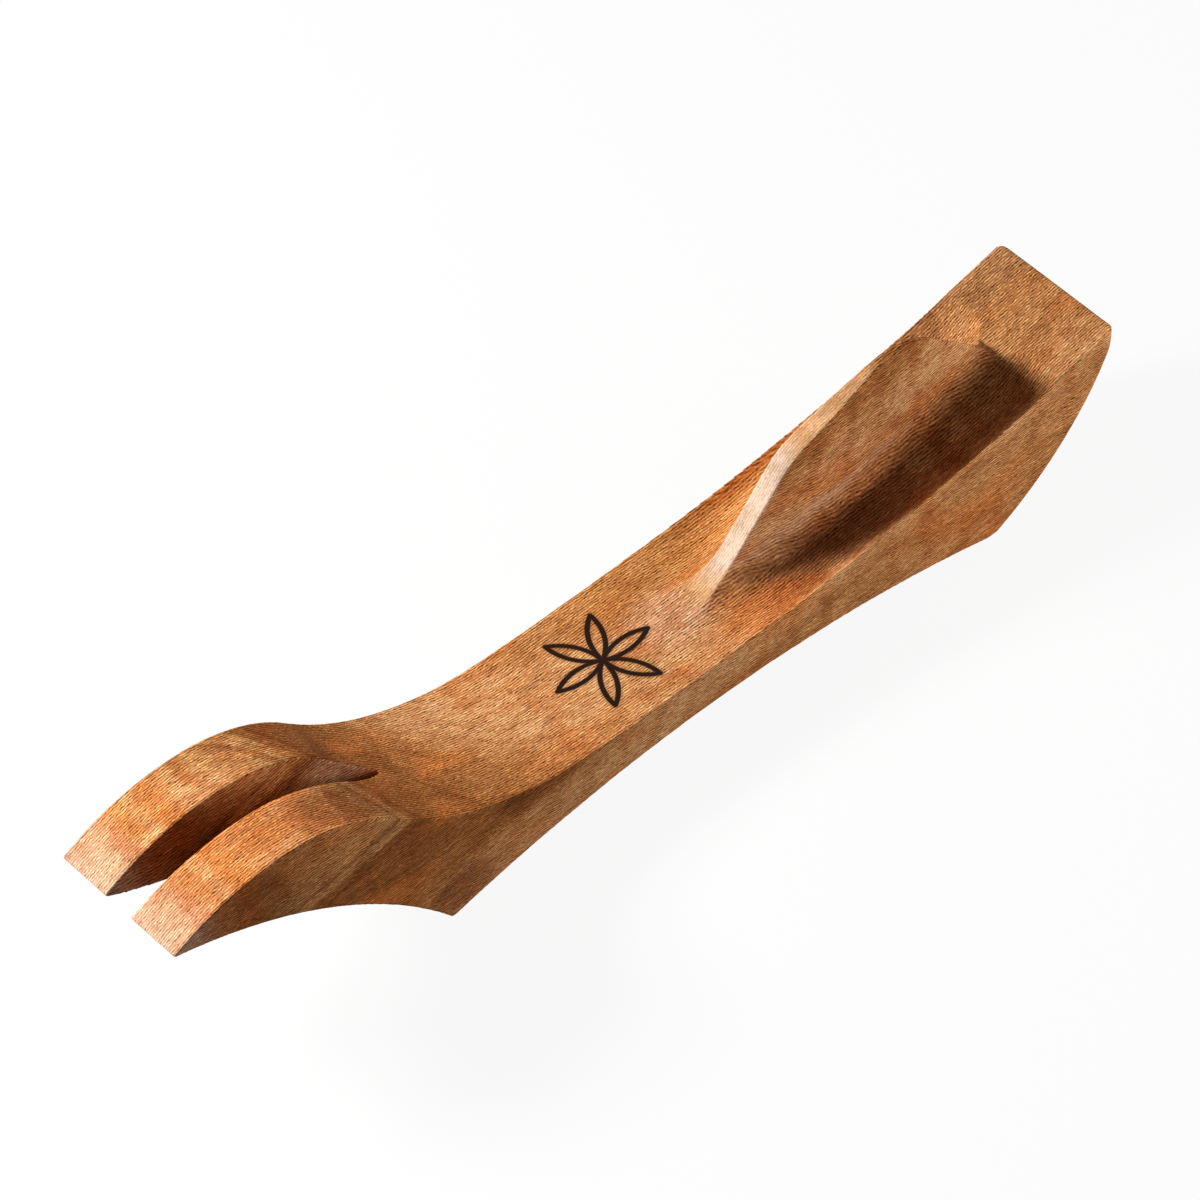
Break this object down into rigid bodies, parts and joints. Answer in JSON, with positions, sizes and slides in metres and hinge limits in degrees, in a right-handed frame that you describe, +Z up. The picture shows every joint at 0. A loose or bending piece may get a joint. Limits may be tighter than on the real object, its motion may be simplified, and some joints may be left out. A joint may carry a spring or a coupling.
{
  "type": "carved wooden claw",
  "caption": "Arched hardwood hand piece with a slotted claw at the nose, a thin upright finger fin between scooped hollows, and a blunt tail; stands on its heel and foot.",
  "frame": {"origin": "on the surface it rests on, under the middle of its box", "axes": "+X along the length from the fork to the tail, +Y across the plank, +Z up"},
  "size_m": [0.2388, 0.032, 0.0504],
  "materials": {
    "hardwood": "sanded and lightly oiled, satin"
  },
  "bodies": {
    "root": {"carved_body": "hardwood"}
  },
  "joints": []
}
